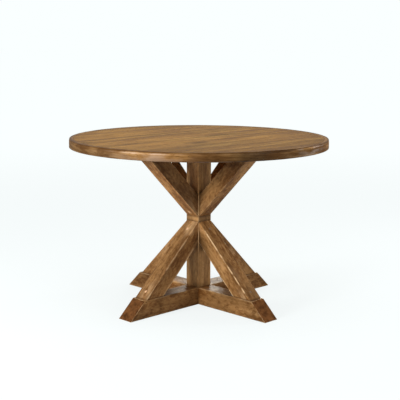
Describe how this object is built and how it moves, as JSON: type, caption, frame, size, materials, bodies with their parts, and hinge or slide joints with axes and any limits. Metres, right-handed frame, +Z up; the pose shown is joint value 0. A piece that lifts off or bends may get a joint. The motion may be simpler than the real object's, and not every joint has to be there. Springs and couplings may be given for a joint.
{
  "type": "round pedestal dining table",
  "caption": "Round planked dining table with an edge band, on a square post with diagonal braces above and below and a crossed base on levelling feet.",
  "frame": {"origin": "on the floor under the middle of the post", "axes": "+Z up; the base runners lie along X and Y; the top boards run along X"},
  "size_m": [1.161, 1.161, 0.762],
  "materials": {
    "top_wood": "brown stained boards, satin, lightly distressed",
    "band_wood": "brown stained, satin, worn edges",
    "frame_wood": "brown stained, satin, worn edges",
    "cleat_wood": "sawn and lightly stained",
    "plug_wood": "end-grain plugs, satin",
    "dowel_wood": "plain fluted hardwood",
    "screw_steel": "zinc plated",
    "tie_steel": "zinc plated",
    "insert_brass": "plain",
    "stem_steel": "zinc plated thread",
    "pad_nylon": "matt moulded nylon"
  },
  "bodies": {
    "table": {"top_board_01": "top_wood", "top_board_02": "top_wood", "top_board_03": "top_wood", "top_board_04": "top_wood", "top_board_05": "top_wood", "top_board_06": "top_wood", "top_board_07": "top_wood", "top_board_08": "top_wood", "top_board_09": "top_wood", "top_board_10": "top_wood", "edge_band_1": "band_wood", "edge_band_2": "band_wood", "edge_band_3": "band_wood", "edge_band_4": "band_wood", "post": "frame_wood", "lower_brace_right": "frame_wood", "upper_brace_right": "frame_wood", "lower_brace_back": "frame_wood", "upper_brace_back": "frame_wood", "lower_brace_left": "frame_wood", "upper_brace_left": "frame_wood", "lower_brace_front": "frame_wood", "upper_brace_front": "frame_wood", "runner_left_right": "frame_wood", "runner_front_back": "frame_wood", "cleat_left_right": "cleat_wood", "cleat_front_back": "cleat_wood", "lower_head_plugs": "plug_wood", "lower_foot_plugs": "plug_wood", "upper_foot_plugs": "plug_wood", "lower_head_dowels": "dowel_wood", "lower_foot_dowels": "dowel_wood", "upper_foot_dowels": "dowel_wood", "lower_head_screws": "screw_steel", "lower_foot_screws": "screw_steel", "upper_foot_screws": "screw_steel", "upper_head_screws": "screw_steel", "top_screws": "screw_steel", "top_washers": "screw_steel", "tie_rod": "tie_steel", "tie_nuts": "tie_steel", "tie_washers": "tie_steel", "leveler_inserts": "insert_brass"},
    "leveler_right": {"leveler_stem_right": "stem_steel", "leveler_pad_right": "pad_nylon"},
    "leveler_back": {"leveler_stem_back": "stem_steel", "leveler_pad_back": "pad_nylon"},
    "leveler_left": {"leveler_stem_left": "stem_steel", "leveler_pad_left": "pad_nylon"},
    "leveler_front": {"leveler_stem_front": "stem_steel", "leveler_pad_front": "pad_nylon"}
  },
  "joints": [
    {"name": "leveler_right_travel", "type": "slide", "parent": "table", "child": "leveler_right", "axis": [0, 0, -1], "range_m": [0, 0.012]},
    {"name": "leveler_back_travel", "type": "slide", "parent": "table", "child": "leveler_back", "axis": [0, 0, -1], "range_m": [0, 0.012]},
    {"name": "leveler_left_travel", "type": "slide", "parent": "table", "child": "leveler_left", "axis": [0, 0, -1], "range_m": [0, 0.012]},
    {"name": "leveler_front_travel", "type": "slide", "parent": "table", "child": "leveler_front", "axis": [0, 0, -1], "range_m": [0, 0.012]}
  ]
}
